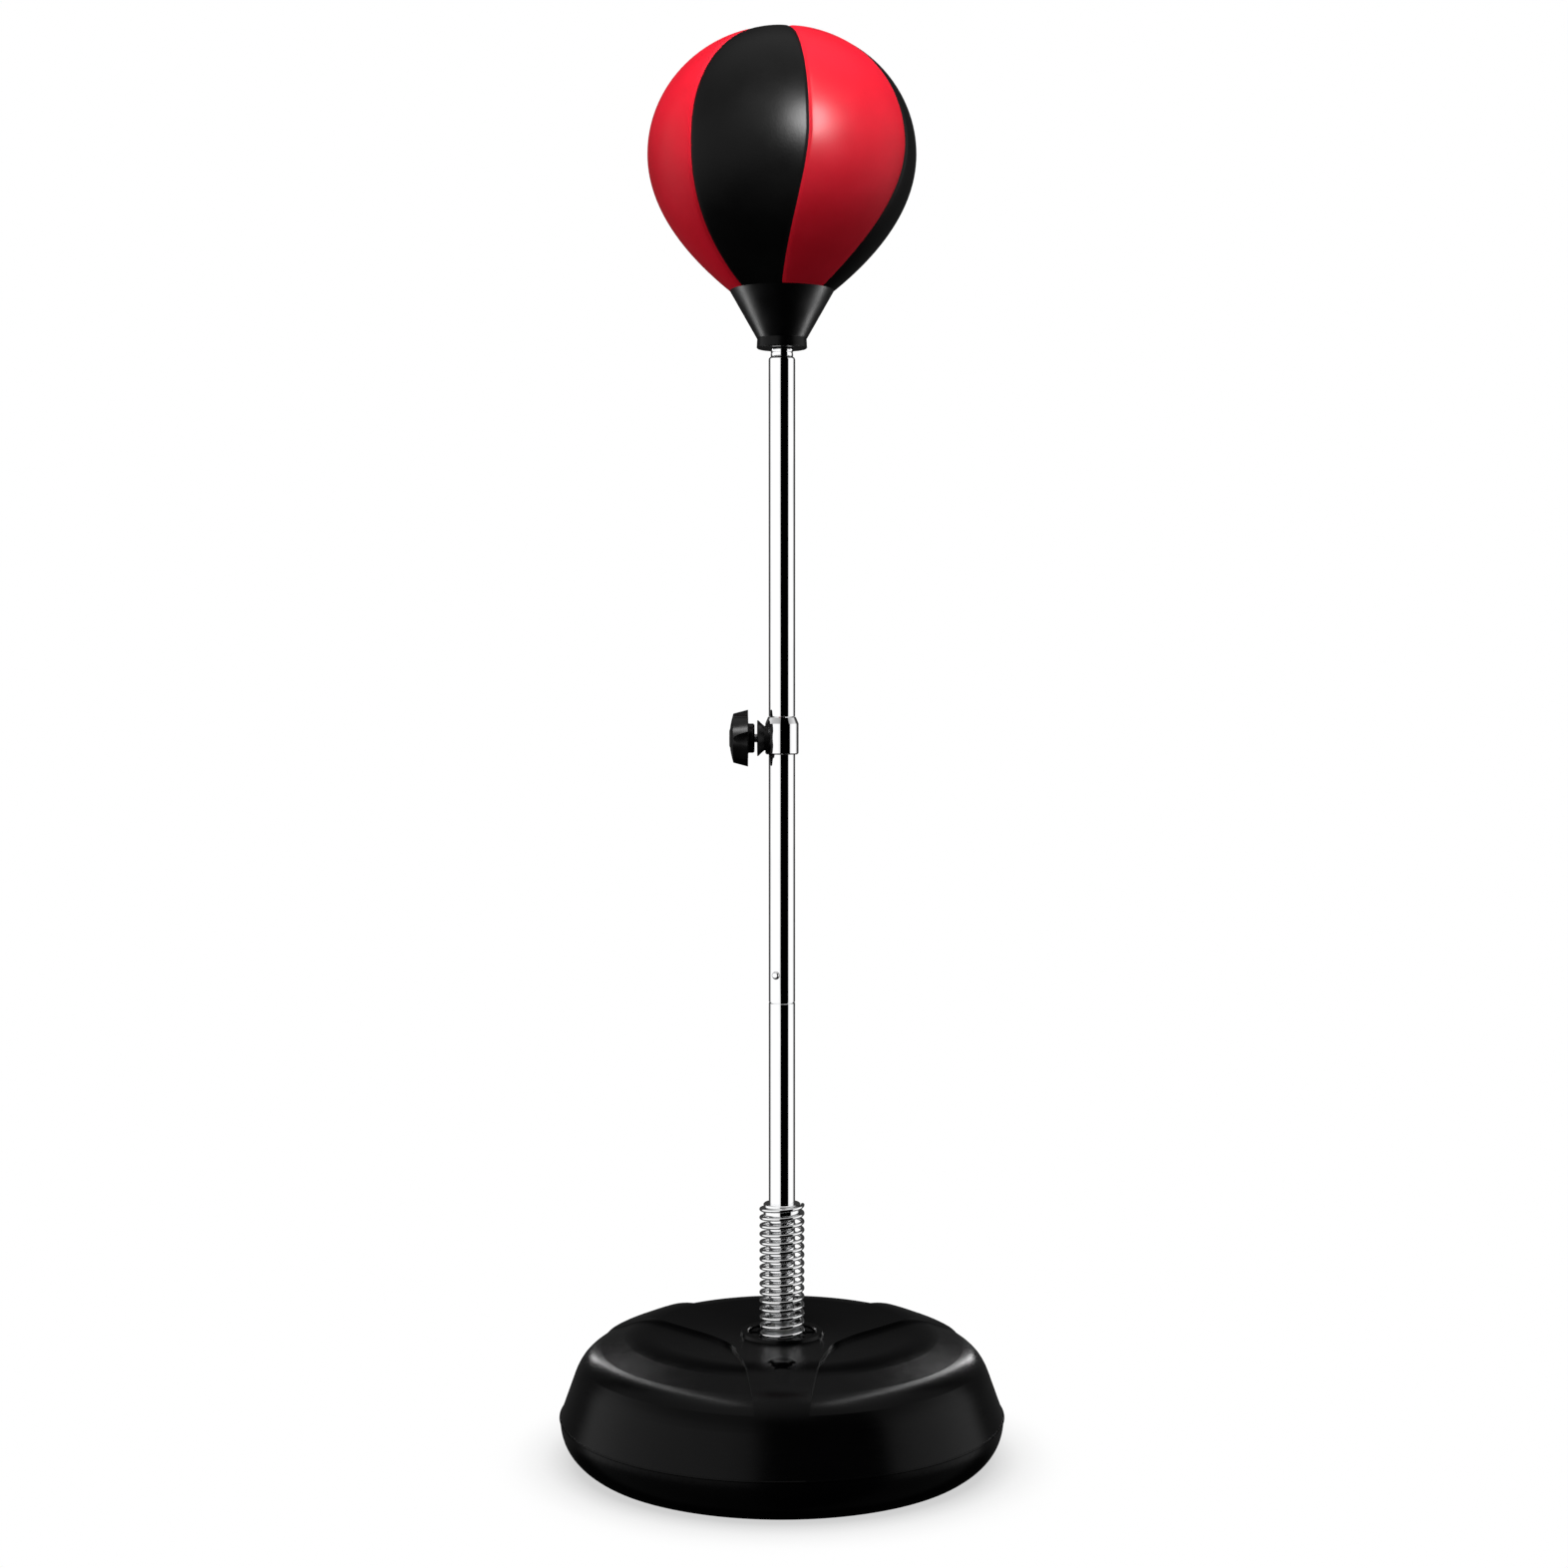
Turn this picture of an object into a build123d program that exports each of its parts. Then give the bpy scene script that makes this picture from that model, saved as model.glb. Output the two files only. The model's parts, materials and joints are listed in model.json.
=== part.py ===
from build123d import *
from math import cos, pi, radians, sin, sqrt
import os

# A speed ball on a sprung pole: a sand-filled base, a coil spring, a telescopic pole with a clamp
# and an inflated ball in a rubber cup. Millimetres, +Z up. The origin is on the floor, on the
# pole's axis; the front looks along -Y and the clamp's knob stands out along -X.

os.makedirs("parts", exist_ok=True)

# ---------------------------------------------------------------- driving dimensions
# Base shell
BASE_R = 214.4            # outside radius at the parting line
PARTING_Z = 41.5
FOOT_R = 190.8            # outer edge of the flat foot
FOOT_INNER_R = 150.0      # inner edge of the flat foot
ARCH_Z = 8.0              # the underside is raised inside the foot
TUCK_Z = 14.3             # height at which the tuck's two tangents meet
WALL_LEAN = 22.5          # how far the wall leans in by the shoulder
CROWN_R = 138.6           # ring where the top is highest
CROWN_Z = 126.2
SHOULDER_DROP = 22.1      # shoulder below the crown
SHOULDER_RAD = 57.0
CROWN_RAD = 60.0
DISH_DROP = 7.8           # top at the centre below the crown
SHELL_WALL = 4.0
CAVITY_SHOULDER_RAD = 38.0
CAVITY_CROWN_RAD = 40.0
SAND_LEVEL = 84.0
BEAD_R = 1.1
LOBES = 3                 # lowered areas of the top, with ridges between them
LOBE_DROP = 3.4
LOBE_NOSE = 57.2          # where the two edges of a lobe would meet, from the pole's axis
LOBE_SPREAD = 0.389       # how far a lobe's edges run outwards per unit of width
LOBE_NOSE_RAD = 97.0
LOBE_HALF_W = 190.0
LOBE_SHOULDER_RAD = 45.0
LOBE_ANGLE = -30.0        # plan angle of one lobe, degrees from +X
CHANNEL_LEN = 40.0        # pour channel below the plug
CHANNEL_TOP_W = 15.2
CHANNEL_LOW_W = 9.2
# Seat in the middle of the base
LIP_R = 40.5
LIP_H = 3.0
RECESS_R = 32.5
RECESS_DEPTH = 10.4
WELL_R = 20.0
WELL_DEPTH = 28.0
WASHER_T = 1.5
SEAT_FLANGE_R = 28.6
SEAT_FLANGE_T = 3.0
RING_LOBES = 8
RING_LIP_T = 2.5
RING_LOBE_H = 4.2
RING_NOTCH_W = 7.5
# Fill plug
PLUG_R = 128.0            # distance of the plug from the pole's axis
PLUG_SHANK_R = 8.0
PLUG_HEAD_R = 10.6
PLUG_HEAD_H = 3.4
PLUG_SHANK_LEN = 13.0
SEAL_T = 1.0
PLUG_SINK = 2.8           # plug's flat seat below the crown
PLUG_SEAT_EDGE = 2.4      # flat seat beyond the plug's head
COIN_SLOT_LEN = 13.0
COIN_SLOT_W = 2.4
COIN_SLOT_DEEP = 1.7
# Spring
WIRE_R = 1.9
COIL_R = 20.0             # wire centre line
SPRING_LEN = 129.6        # from the first to the last turn's wire centre
SPRING_TURNS = 16
PIVOT_UP = 11.5           # ball joint of the pole above the seat's flange
FOOT_BALL_R = 8.0
FOOT_GAP = 9.0            # lower tube's end above the ball joint
FOOT_PLUG_LEN = 16.0
PIVOT_CUP_R = 11.0
PIVOT_CUP_T = 2.4
PIVOT_CUP_ABOVE = 2.6     # bush above the pin's axis
PIVOT_PIN_R = 2.0
SPRING_COLLAR_LEN = 10.0
# Pole
TUBE_R = 12.7
TUBE_WALL = 1.0
LOWER_LEN = 308.0
MID_LEN = 267.0
UPPER_LEN = 343.0
SPIGOT_LEN = 46.0
JOINT_CHAMFER = 0.8       # groove round the pole where two tubes meet
INNER_R = 11.1
INNER_BELOW = 208.0       # inner tube below the top of the mid tube
INNER_ABOVE = 58.0        # inner tube inside the upper tube
BUTTON_UP = 27.0          # snap button above the tube joint
BUTTON_R = 3.9
BUTTON_PROUD = 2.2        # dome of the button outside the tube
BUTTON_ANGLE = -117.6     # direction of the button in plan, degrees from +X
BUTTON_FLANGE_R = 5.2
BUTTON_FLANGE_T = 1.2
CLIP_T = 0.8
CLIP_W = 7.0
# Clamp
COLLAR_R = 16.0
COLLAR_BELOW = 28.0       # collar below the top of the mid tube
COLLAR_ABOVE = 8.0
CLAMP_DOWN = 12.5         # screw axis below the top of the mid tube
SCREW_R = 4.0
SCREW_IN_KNOB = 16.0
SHOE_R = 3.9
SHOE_LEN = 15.0           # from the pole's axis
CLAMP_NUT_R = 7.0
BOSS_NECK_R = 11.8
BOSS_OUT = 23.7           # outer face of the flared boss, from the pole's axis
BOSS_R = 17.1
KNOB_GAP = 2.6
HUB_R = 14.1
HUB_LEN = 6.3
KNOB_R = 27.3
KNOB_FRONT_R = 23.6
KNOB_LEN = 14.0
KNOB_DOME = 3.8
KNOB_LOBES = 6
FLUTE_R = 9.6
FLUTE_OUT = 6.0           # flute centres outside the knob's rim
CAP_R = 8.4
CAP_T = 1.6
# Top of the pole
TUBE_CROWN = 3.0
TOP_T = 1.4
TOP_PLUG_LEN = 26.4
STUD_BELOW = 27.0         # stud below the pole's top
INNER_BUSH_LEN = 16.0
INNER_BUSH_OUT = 6.0      # of which stands below the inner tube
# Ball and cup
NUT_R = 10.7
NUT_H = 3.8
STUD_R = 5.0
CUP_H = 54.5
CUP_NECK_H = 9.6
CUP_NECK_R = 24.0
CUP_RIM_R = 49.6
INSERT_UP = 12.0          # hard insert above the cup's bottom
INSERT_T = 9.0
BALL_R = 127.4
BALL_RISE = 118.5         # top of the ball above its widest ring
BALL_CURVE = 0.004833     # how fast the lower half narrows
RIM_DROP = 127.6          # cup rim below the ball's widest ring
BALL_END_R = 12.0         # opening at the bottom of the ball
LOWER_SLANT = 1.8         # sideways thickness of the skin at its lower end, per unit of thickness
SKIN_T = 2.4
BLADDER_T = 0.9
SEAMS = (-78.7, -24.8, 38.6, 102.1, 165.5, 229.0)    # plan angles, degrees from +X
VALVE_LAT = 35.0          # valve's angle above the ball's widest ring
VALVE_R = 4.0
VALVE_BORE_R = 0.8
VALVE_DEPTH = 8.0
VALVE_PROUD = 0.6
VALVE_ANGLE = 74.0
# Clearances
RUN = 0.05                # radial clearance of sliding and turning fits
PRESS = 0.01              # gap of pressed joints
FREE = 0.3                # clearance of parts that pass without touching
NEST = 0.2                # gap of soft parts that lie on each other


def save(piece, label):
    """Name a finished piece and write it to its own STEP file."""
    piece.part.label = label
    export_step(piece.part, f"parts/{label}.step")


def ring(radius, bore, low, high):
    """Half section of a ring or tube about Z, to be revolved."""
    with BuildSketch(Plane.XZ) as section:
        with BuildLine():
            Polyline((bore, low), (radius, low), (radius, high), (bore, high), close=True)
        make_face()
    return section.sketch


def tube_with_bore(radius, bore, low, high):
    """A tube about Z between two heights."""
    with BuildPart() as tube:
        revolve(ring(radius, bore, low, high), axis=Axis.Z)
    return tube.part


# ---------------------------------------------------------------- base shell
hub_z = CROWN_Z - DISH_DROP
recess_z = hub_z - RECESS_DEPTH
well_z = recess_z - WELL_DEPTH
shoulder = (BASE_R - WALL_LEAN, CROWN_Z - SHOULDER_DROP)
dish_slope = DISH_DROP / (CROWN_R - LIP_R)
lobe_crown_z = CROWN_Z - LOBE_DROP
wall_slope = WALL_LEAN / (shoulder[1] - PARTING_Z)
top_slope = SHOULDER_DROP / (shoulder[0] - CROWN_R)
# where a lobe's floor line meets the wall's line
crease_r = (BASE_R + (PARTING_Z - lobe_crown_z - top_slope * CROWN_R) * wall_slope) / (
    1 - top_slope * wall_slope
)
crease_z = lobe_crown_z - top_slope * (crease_r - CROWN_R)
lobe_out = BASE_R * 1.2
column_r = WELL_R + 6.0
collar_r = RECESS_R + SHELL_WALL + 0.5
cavity_top = lobe_crown_z - SHELL_WALL
plug_seat_z = CROWN_Z - PLUG_SINK
channel_top_r = CROWN_R + 2
plug_bore_r = PLUG_SHANK_R + RUN

with BuildPart() as lobe_cutter:
    with BuildSketch(Plane.XZ):
        with BuildLine():
            floor_line = FilletPolyline(
                (BASE_R + FREE, PARTING_Z),
                (crease_r + FREE, crease_z),
                (CROWN_R, lobe_crown_z),
                (LIP_R, lobe_crown_z - dish_slope * (CROWN_R - LIP_R)),
                radius=[LOBE_SHOULDER_RAD, CROWN_RAD],
            )
            Polyline(floor_line @ 1, (LIP_R, CROWN_Z + 10), (lobe_out, CROWN_Z + 10), floor_line @ 0)
        make_face()
    revolve(axis=Axis.Z)
    with BuildSketch(Plane.XY.offset(PARTING_Z)) as lobe_plan:
        with BuildSketch(mode=Mode.PRIVATE) as one_lobe:
            with BuildLine():
                edges = FilletPolyline(
                    (LOBE_NOSE + LOBE_SPREAD * LOBE_HALF_W, -LOBE_HALF_W),
                    (LOBE_NOSE, 0),
                    (LOBE_NOSE + LOBE_SPREAD * LOBE_HALF_W, LOBE_HALF_W),
                    radius=[LOBE_NOSE_RAD],
                )
                Polyline(edges @ 1, (lobe_out, LOBE_HALF_W), (lobe_out, -LOBE_HALF_W), edges @ 0)
            make_face()
        with PolarLocations(0, LOBES, start_angle=LOBE_ANGLE):
            add(one_lobe.sketch)
    extrude(amount=CROWN_Z, mode=Mode.INTERSECT)

with BuildPart() as channel_cutter:
    with BuildSketch(Plane.XZ):
        with BuildLine():
            path = FilletPolyline(
                (BASE_R - WALL_LEAN + 1, CROWN_Z - SHOULDER_DROP - 4),
                (CROWN_R + 34, CROWN_Z - 13.5),
                (CROWN_R, CROWN_Z - 2.4),
                (CROWN_R - 12, CROWN_Z - 1.2),
                radius=[9, 40],
            )
            Polyline(path @ 1, (CROWN_R - 12, CROWN_Z + 10), (BASE_R, CROWN_Z + 10), path @ 0)
        make_face()
    revolve(axis=Axis.Z)
    with BuildSketch(Plane.XY.offset(PARTING_Z)) as channel_plan:
        with BuildLine():
            FilletPolyline(
                (-CHANNEL_TOP_W / 2, -channel_top_r),
                (-CHANNEL_LOW_W / 2, -channel_top_r - CHANNEL_LEN),
                (CHANNEL_LOW_W / 2, -channel_top_r - CHANNEL_LEN),
                (CHANNEL_TOP_W / 2, -channel_top_r),
                radius=2.5,
                close=True,
            )
        make_face()
    extrude(amount=CROWN_Z, mode=Mode.INTERSECT)

with BuildPart() as base_shell:
    with BuildSketch(Plane.XZ):
        with BuildLine():
            Polyline(
                (0, well_z), (0, ARCH_Z), (FOOT_INNER_R - ARCH_Z, ARCH_Z), (FOOT_INNER_R, 0), (FOOT_R, 0)
            )
            Bezier((FOOT_R, 0), (BASE_R, TUCK_Z), (BASE_R, PARTING_Z))
            FilletPolyline(
                (BASE_R, PARTING_Z),
                shoulder,
                (CROWN_R, CROWN_Z),
                (LIP_R, hub_z),
                radius=[SHOULDER_RAD, CROWN_RAD],
            )
            Polyline(
                (LIP_R, hub_z),
                (LIP_R - 1.0, hub_z + LIP_H),
                (RECESS_R + 1.0, hub_z + LIP_H),
                (RECESS_R, hub_z + LIP_H - 1.0),
                (RECESS_R, recess_z),
                (WELL_R, recess_z),
                (WELL_R, well_z),
                (0, well_z),
            )
        make_face()
    revolve(axis=Axis.Z)
    # bead where the two halves of the mould met
    with BuildSketch(Plane.XZ):
        with Locations((BASE_R - 0.3, PARTING_Z)):
            Circle(BEAD_R)
    revolve(axis=Axis.Z)
    add(lobe_cutter.part, mode=Mode.SUBTRACT)
    add(channel_cutter.part, mode=Mode.SUBTRACT)
    # fill hole with a flat seat for the plug
    with Locations((0, -PLUG_R, plug_seat_z)):
        Cylinder(
            PLUG_HEAD_R + PLUG_SEAT_EDGE,
            20,
            align=(Align.CENTER, Align.CENTER, Align.MIN),
            mode=Mode.SUBTRACT,
        )
        Cylinder(plug_bore_r, 60, mode=Mode.SUBTRACT)


def cavity_profile():
    """Half section of the hollow inside the base."""
    inner_z = cavity_top - dish_slope * (CROWN_R - collar_r)
    with BuildSketch(Plane.XZ) as section:
        with BuildLine():
            Polyline(
                (collar_r, inner_z),
                (collar_r, recess_z - SHELL_WALL),
                (column_r, recess_z - SHELL_WALL - 8),
                (column_r, ARCH_Z + SHELL_WALL),
                (FOOT_INNER_R - ARCH_Z, ARCH_Z + SHELL_WALL),
                (FOOT_INNER_R, SHELL_WALL),
                (FOOT_R - 2, SHELL_WALL),
            )
            Bezier(
                (FOOT_R - 2, SHELL_WALL),
                (BASE_R - SHELL_WALL, TUCK_Z + SHELL_WALL),
                (BASE_R - SHELL_WALL, PARTING_Z),
            )
            FilletPolyline(
                (BASE_R - SHELL_WALL, PARTING_Z),
                (crease_r - SHELL_WALL, crease_z - SHELL_WALL),
                (CROWN_R, cavity_top),
                (collar_r, inner_z),
                radius=[CAVITY_SHOULDER_RAD, CAVITY_CROWN_RAD],
            )
        make_face()
    return section.sketch


with BuildPart() as base_cavity:
    revolve(cavity_profile(), axis=Axis.Z)

with BuildPart() as base_done:
    add(base_shell.part)
    add(base_cavity.part, mode=Mode.SUBTRACT)
save(base_done, "base_shell")

# sand fills the hollow up to a level surface
with BuildPart() as sand_ballast:
    add(base_cavity.part)
    split(bisect_by=Plane.XY.offset(SAND_LEVEL), keep=Keep.BOTTOM)
save(sand_ballast, "sand_ballast")

# ---------------------------------------------------------------- fill plug
seal_z = plug_seat_z + RUN
head_z = seal_z + SEAL_T + RUN
plug_centre = (0, -PLUG_R)

with BuildPart() as plug_seal:
    with BuildSketch(Plane.XY.offset(seal_z)):
        with Locations(plug_centre):
            Circle(PLUG_HEAD_R - 0.8)
            Circle(PLUG_SHANK_R + FREE, mode=Mode.SUBTRACT)
    extrude(amount=SEAL_T)
save(plug_seal, "plug_seal")

with BuildPart() as fill_plug:
    with BuildSketch(Plane.XY.offset(head_z)):
        with Locations(plug_centre):
            RegularPolygon(radius=PLUG_HEAD_R, side_count=6)
    extrude(amount=PLUG_HEAD_H)
    fillet(fill_plug.edges().filter_by(Axis.Z), radius=1.6)
    fillet(fill_plug.faces().sort_by(Axis.Z)[-1].outer_wire().edges(), radius=0.8)
    with BuildSketch(Plane.XY.offset(head_z + PLUG_HEAD_H)):
        with Locations(plug_centre):
            SlotOverall(COIN_SLOT_LEN, COIN_SLOT_W)
    extrude(amount=-COIN_SLOT_DEEP, mode=Mode.SUBTRACT)
    with BuildSketch(Plane.XY.offset(head_z)):
        with Locations(plug_centre):
            Circle(PLUG_SHANK_R)
    extrude(amount=-PLUG_SHANK_LEN)
    chamfer(fill_plug.faces().sort_by(Axis.Z)[0].edges(), length=1.0)
save(fill_plug, "fill_plug")

# ---------------------------------------------------------------- spring seat in the base
washer_top = recess_z + WASHER_T
flange_z = washer_top + RUN
flange_top = flange_z + SEAT_FLANGE_T
pivot_z = flange_top + PIVOT_UP
coil_inner_r = COIL_R - WIRE_R
coil_outer_r = COIL_R + WIRE_R
spigot_core_r = coil_inner_r - NEST
skirt_r = SEAT_FLANGE_R + FREE
ring_z = flange_top + FREE
lobes_z = ring_z + RING_LIP_T
lobes_top = lobes_z + RING_LOBE_H

with BuildPart() as thrust_washer:
    add(tube_with_bore(SEAT_FLANGE_R - FREE, WELL_R + FREE, recess_z, washer_top))
save(thrust_washer, "thrust_washer")

with BuildPart() as socket_ring:
    with BuildSketch(Plane.XZ):
        with BuildLine():
            Polyline(
                (skirt_r, recess_z),
                (RECESS_R - RUN, recess_z),
                (RECESS_R - RUN, lobes_z),
                (RECESS_R - 1.8, lobes_z),
                (RECESS_R - 2.2, lobes_top),
                (coil_outer_r + 2.6, lobes_top),
                (coil_outer_r + 1.6, lobes_z),
                (coil_outer_r + 0.9, lobes_z - 0.7),
                (coil_outer_r + 0.9, ring_z),
                (skirt_r, ring_z),
                close=True,
            )
        make_face()
    revolve(axis=Axis.Z)
    # the notches between the ring's lobes
    with BuildSketch(Plane.XY.offset(lobes_z)):
        with PolarLocations((RECESS_R + coil_outer_r) / 2, RING_LOBES, start_angle=-90):
            SlotOverall(14, RING_NOTCH_W)
    extrude(amount=RING_LOBE_H + 1, mode=Mode.SUBTRACT)
save(socket_ring, "socket_ring")

with BuildPart() as spring_seat:
    with BuildSketch(Plane.XZ):
        with BuildLine():
            Polyline(
                (0, well_z + FREE),
                (WELL_R - RUN - 1.5, well_z + FREE),
                (WELL_R - RUN, well_z + FREE + 1.5),
                (WELL_R - RUN, flange_z),
                (SEAT_FLANGE_R, flange_z),
                (SEAT_FLANGE_R, flange_top),
                (spigot_core_r, flange_top),
                (spigot_core_r, pivot_z - 1),
                (spigot_core_r - 1, pivot_z),
                (PIVOT_CUP_R, pivot_z),
                (PIVOT_CUP_R, pivot_z - FOOT_BALL_R - PIVOT_CUP_T),
                (0, pivot_z - FOOT_BALL_R - PIVOT_CUP_T),
                close=True,
            )
        make_face()
    revolve(axis=Axis.Z)
save(spring_seat, "spring_seat")

with BuildPart() as pivot_bush:
    with Locations((0, 0, pivot_z - FOOT_BALL_R - PIVOT_CUP_T)):
        Cylinder(
            PIVOT_CUP_R,
            FOOT_BALL_R + PIVOT_CUP_T + PIVOT_CUP_ABOVE,
            align=(Align.CENTER, Align.CENTER, Align.MIN),
        )
    with Locations((0, 0, pivot_z)):
        Sphere(FOOT_BALL_R + RUN, mode=Mode.SUBTRACT)
        Cylinder(PIVOT_PIN_R, 2 * PIVOT_CUP_R, rotation=(0, 90, 0), mode=Mode.SUBTRACT)
save(pivot_bush, "pivot_bush")

with BuildPart() as pivot_pin:
    with Locations((0, 0, pivot_z)):
        Cylinder(PIVOT_PIN_R, 2 * PIVOT_CUP_R - FREE, rotation=(0, 90, 0))
save(pivot_pin, "pivot_pin")

spring_z = flange_top + WIRE_R + RUN
spring_top = spring_z + SPRING_LEN + WIRE_R
with BuildPart() as coil_spring:
    with BuildLine(Plane.XY.offset(spring_z)):
        coil = Helix(SPRING_LEN / SPRING_TURNS, SPRING_LEN, COIL_R)
    with BuildSketch(Plane(origin=coil @ 0, z_dir=coil % 0)):
        Circle(WIRE_R)
    sweep(path=coil, is_frenet=True)
save(coil_spring, "coil_spring")

# ---------------------------------------------------------------- lower pole
tube_bore = TUBE_R - TUBE_WALL
foot_z = pivot_z + FOOT_GAP
joint_z = foot_z + LOWER_LEN
mid_top = joint_z + MID_LEN
spigot_r = tube_bore - RUN
spigot_bore = spigot_r - TUBE_WALL
button_z = joint_z + BUTTON_UP
clamp_z = mid_top - CLAMP_DOWN
collar_top = mid_top + COLLAR_ABOVE
window_r = SHOE_R + FREE

# along the button: local Z points out of the tube; along the clamp: local X points out
button_dir = (cos(radians(BUTTON_ANGLE)), sin(radians(BUTTON_ANGLE)), 0)
button_out = Plane(origin=(0, 0, button_z), x_dir=(0, 0, 1), z_dir=button_dir)
clamp_out = Plane(origin=(0, 0, clamp_z), x_dir=(0, 1, 0), z_dir=(-1, 0, 0))
clamp_side = Plane(origin=(0, 0, clamp_z), x_dir=(-1, 0, 0), z_dir=(0, 1, 0))
clamp_axis = Axis((0, 0, clamp_z), (-1, 0, 0))


def hole_along(plane, radius):
    """A cylinder from the pole's axis outwards, to cut a round hole through a tube's wall."""
    with BuildPart() as drill:
        with BuildSketch(plane):
            Circle(radius)
        extrude(amount=2 * TUBE_R)
    return drill.part


with BuildPart() as tube_foot:
    with BuildSketch(Plane.XZ):
        with BuildLine():
            neck_up = sqrt(FOOT_BALL_R**2 - 5.5**2)
            ball = ThreePointArc(
                (0, pivot_z - FOOT_BALL_R), (FOOT_BALL_R, pivot_z), (5.5, pivot_z + neck_up)
            )
            Polyline(
                ball @ 1,
                (5.5, foot_z - 2),
                (TUBE_R - 0.4, foot_z - 2),
                (TUBE_R - 0.4, foot_z),
                (tube_bore, foot_z),
                (tube_bore, foot_z + FOOT_PLUG_LEN),
                (0, foot_z + FOOT_PLUG_LEN),
                ball @ 0,
            )
        make_face()
    revolve(axis=Axis.Z)
    with Locations((0, 0, pivot_z)):
        Cylinder(PIVOT_PIN_R + RUN, 2 * PIVOT_CUP_R, rotation=(0, 90, 0), mode=Mode.SUBTRACT)
save(tube_foot, "tube_foot")

with BuildPart() as spring_collar:
    add(tube_with_bore(spigot_core_r, TUBE_R, spring_top - SPRING_COLLAR_LEN, spring_top))
    chamfer(spring_collar.edges().group_by(Axis.Z)[-1].sort_by(SortBy.LENGTH)[-1], length=0.8)
save(spring_collar, "spring_collar")

with BuildPart() as lower_tube:
    with BuildSketch(Plane.XZ):
        with BuildLine():
            Polyline(
                (tube_bore, foot_z),
                (TUBE_R, foot_z),
                (TUBE_R, joint_z - JOINT_CHAMFER),
                (TUBE_R - JOINT_CHAMFER + RUN, joint_z),
                (spigot_r, joint_z),
                (spigot_r, joint_z + SPIGOT_LEN - 1),
                (spigot_bore + 0.4, joint_z + SPIGOT_LEN),
                (spigot_bore, joint_z + SPIGOT_LEN),
                (spigot_bore, joint_z - 2),
                (tube_bore, joint_z - 5),
                close=True,
            )
        make_face()
    revolve(axis=Axis.Z)
    add(hole_along(button_out, BUTTON_R + RUN), mode=Mode.SUBTRACT)
save(lower_tube, "lower_tube")

with BuildPart() as mid_tube:
    add(tube_with_bore(TUBE_R, tube_bore, joint_z, mid_top))
    chamfer(mid_tube.edges().group_by(Axis.Z)[0].sort_by(SortBy.LENGTH)[-1], length=JOINT_CHAMFER - RUN)
    add(hole_along(button_out, BUTTON_R + RUN), mode=Mode.SUBTRACT)
    add(hole_along(clamp_out, window_r), mode=Mode.SUBTRACT)
save(mid_tube, "mid_tube")

flange_seat = sqrt(spigot_bore**2 - BUTTON_FLANGE_R**2) - FREE
with BuildPart() as snap_button:
    with BuildSketch(button_out.offset(flange_seat - BUTTON_FLANGE_T)):
        Circle(BUTTON_FLANGE_R)
    extrude(amount=BUTTON_FLANGE_T)
    with BuildSketch(button_out.offset(flange_seat)):
        Circle(BUTTON_R)
    extrude(amount=TUBE_R + BUTTON_PROUD - flange_seat)
    fillet(snap_button.faces().sort_by(Axis((0, 0, 0), button_dir))[-1].edges(), radius=BUTTON_PROUD)
save(snap_button, "snap_button")

clip_plane = Plane(
    origin=(0, 0, button_z), x_dir=button_dir, z_dir=(button_dir[1], -button_dir[0], 0)
)
with BuildPart() as button_clip:
    with BuildSketch(clip_plane):
        with BuildLine():
            back = 1.2 - sqrt(spigot_bore**2 - (CLIP_W / 2) ** 2)
            FilletPolyline((back, 7), (back, -21), (flange_seat - 3.5, -7.5), radius=2.5)
        trace(line_width=CLIP_T)
    extrude(amount=CLIP_W / 2, both=True)
save(button_clip, "button_clip")

# ---------------------------------------------------------------- clamp
with BuildPart() as clamp_collar:
    with BuildSketch(Plane.XZ):
        with BuildLine():
            Polyline(
                (TUBE_R, mid_top - COLLAR_BELOW),
                (COLLAR_R - 1.2, mid_top - COLLAR_BELOW),
                (COLLAR_R, mid_top - COLLAR_BELOW + 1.2),
                (COLLAR_R, mid_top + 1.5),
                (COLLAR_R - 0.8, mid_top + 3.5),
                (TUBE_R + 0.9, collar_top - 0.6),
                (TUBE_R + 0.3, collar_top),
                (INNER_R + FREE, collar_top),
                (INNER_R + FREE, mid_top + 2),
                (TUBE_R, mid_top + 2),
                close=True,
            )
        make_face()
    revolve(axis=Axis.Z)
    add(hole_along(clamp_out, window_r), mode=Mode.SUBTRACT)
save(clamp_collar, "clamp_collar")

with BuildPart() as slide_bush:
    with BuildSketch(Plane.XZ):
        with BuildLine():
            Polyline(
                (INNER_R + RUN, mid_top - 24),
                (tube_bore, mid_top - 24),
                (tube_bore, mid_top),
                (TUBE_R - 0.2, mid_top),
                (TUBE_R - 0.2, mid_top + 2),
                (INNER_R + RUN, mid_top + 2),
                close=True,
            )
        make_face()
    revolve(axis=Axis.Z)
    add(hole_along(clamp_out, window_r), mode=Mode.SUBTRACT)
save(slide_bush, "slide_bush")

with BuildPart() as clamp_nut:
    with BuildSketch(clamp_out.offset(COLLAR_R - 3)):
        Circle(CLAMP_NUT_R)
        Circle(SCREW_R + RUN, mode=Mode.SUBTRACT)
    extrude(amount=BOSS_OUT - COLLAR_R + 2)
    Cylinder(COLLAR_R, 4 * mid_top, mode=Mode.SUBTRACT)
save(clamp_nut, "clamp_nut")

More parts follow.
